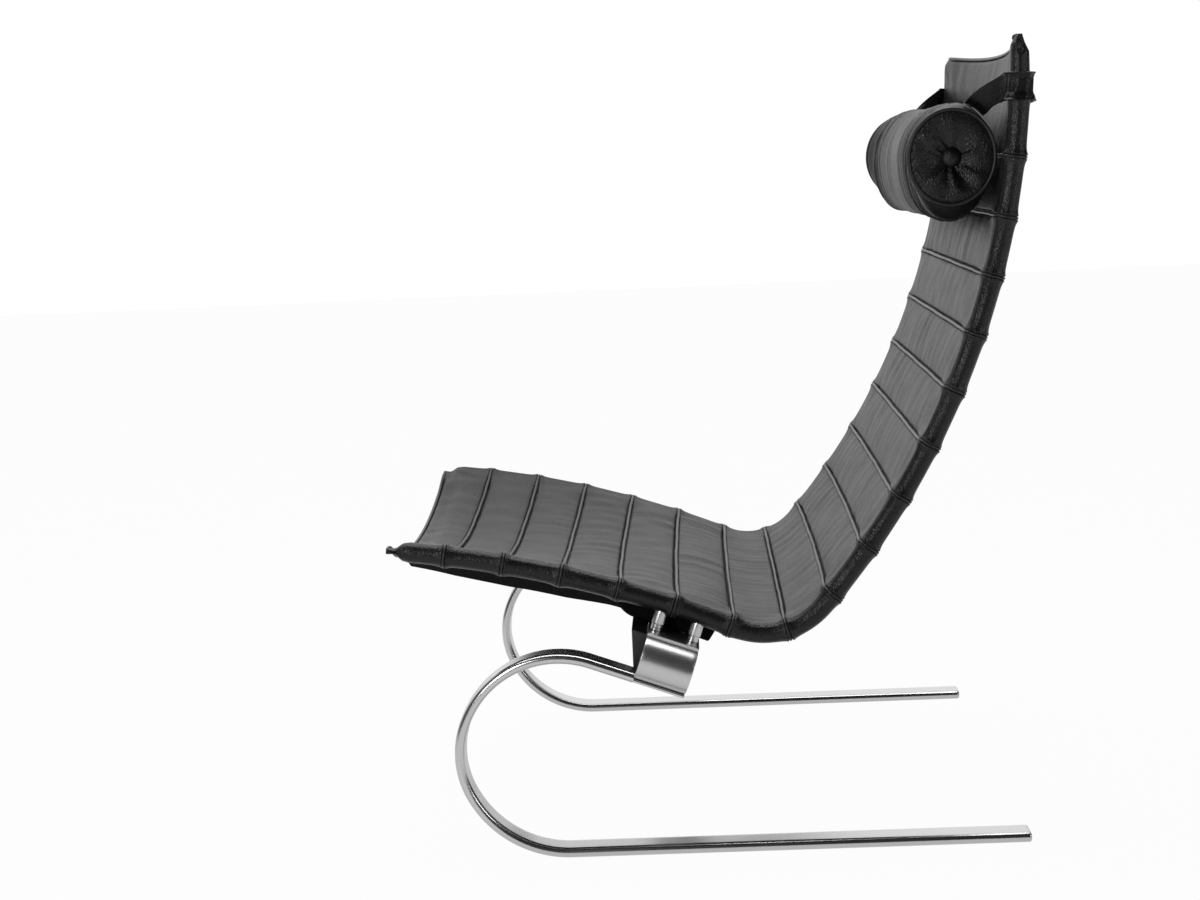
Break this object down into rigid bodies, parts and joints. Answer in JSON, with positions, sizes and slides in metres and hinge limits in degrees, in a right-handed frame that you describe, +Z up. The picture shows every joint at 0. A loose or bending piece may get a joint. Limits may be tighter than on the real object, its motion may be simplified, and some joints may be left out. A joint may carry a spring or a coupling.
{
  "type": "cantilever lounge chair",
  "caption": "Low lounge chair with a channelled black leather sling on bent flat steel cantilever legs and a strapped neck roll.",
  "frame": {"origin": "on the floor, at the middle of the chair's width and length", "axes": "+Z up, -X the way the sitter faces, Y across the chair with the sitter's left at -Y"},
  "size_m": [0.8047, 0.824, 0.9511],
  "materials": {
    "polished_steel": "mirror polished stainless steel",
    "satin_steel": "satin stainless steel",
    "bare_steel": "drawn steel, hidden inside the leather",
    "fastener_steel": "zinc plated",
    "black_metal": "black semi-gloss powder coat",
    "black_plastic": "matt moulded plastic",
    "black_leather": "black top-grain leather with a soft sheen",
    "piping_leather": "black leather rolled over a cord",
    "foam": "open-cell upholstery foam",
    "black_cloth": "black woven lining cloth"
  },
  "bodies": {
    "chair": {"back_cover_panels": "black_leather", "backing_panels": "black_cloth", "bend_cover_panels": "black_leather", "bracket_left": "satin_steel", "bracket_right": "satin_steel", "channel_foam": "foam", "cross_rail": "black_metal", "cross_rail_caps": "black_metal", "front_nose": "black_leather", "front_rail": "bare_steel", "hem_cords": "piping_leather", "leg_spring_left": "polished_steel", "leg_spring_right": "polished_steel", "mounting_plate_left": "polished_steel", "mounting_plate_right": "polished_steel", "rail_screws": "fastener_steel", "seam_cords": "piping_leather", "seat_cover_panels": "black_leather", "side_sleeve_left": "black_leather", "side_sleeve_right": "black_leather", "side_tube_left": "bare_steel", "side_tube_right": "bare_steel", "standoff_bosses": "satin_steel", "standoff_collars": "satin_steel", "standoff_screws": "fastener_steel", "tongue_bolts": "fastener_steel", "tongue_nuts": "fastener_steel", "top_nose": "black_leather", "top_rail": "bare_steel", "tube_plugs": "black_plastic", "underside_cover": "black_cloth"},
    "headrest": {"headrest_buttons": "black_leather", "headrest_core": "foam", "headrest_cover": "black_leather", "headrest_end_discs": "black_leather", "headrest_piping": "piping_leather", "headrest_strap": "black_leather"}
  },
  "joints": [
    {"name": "headrest_slide", "type": "hinge", "parent": "chair", "child": "headrest", "pos_m": [-0.61585, 0, 0.9422], "axis": [0, 1, 0], "range_deg": [-1, 11.5]}
  ]
}
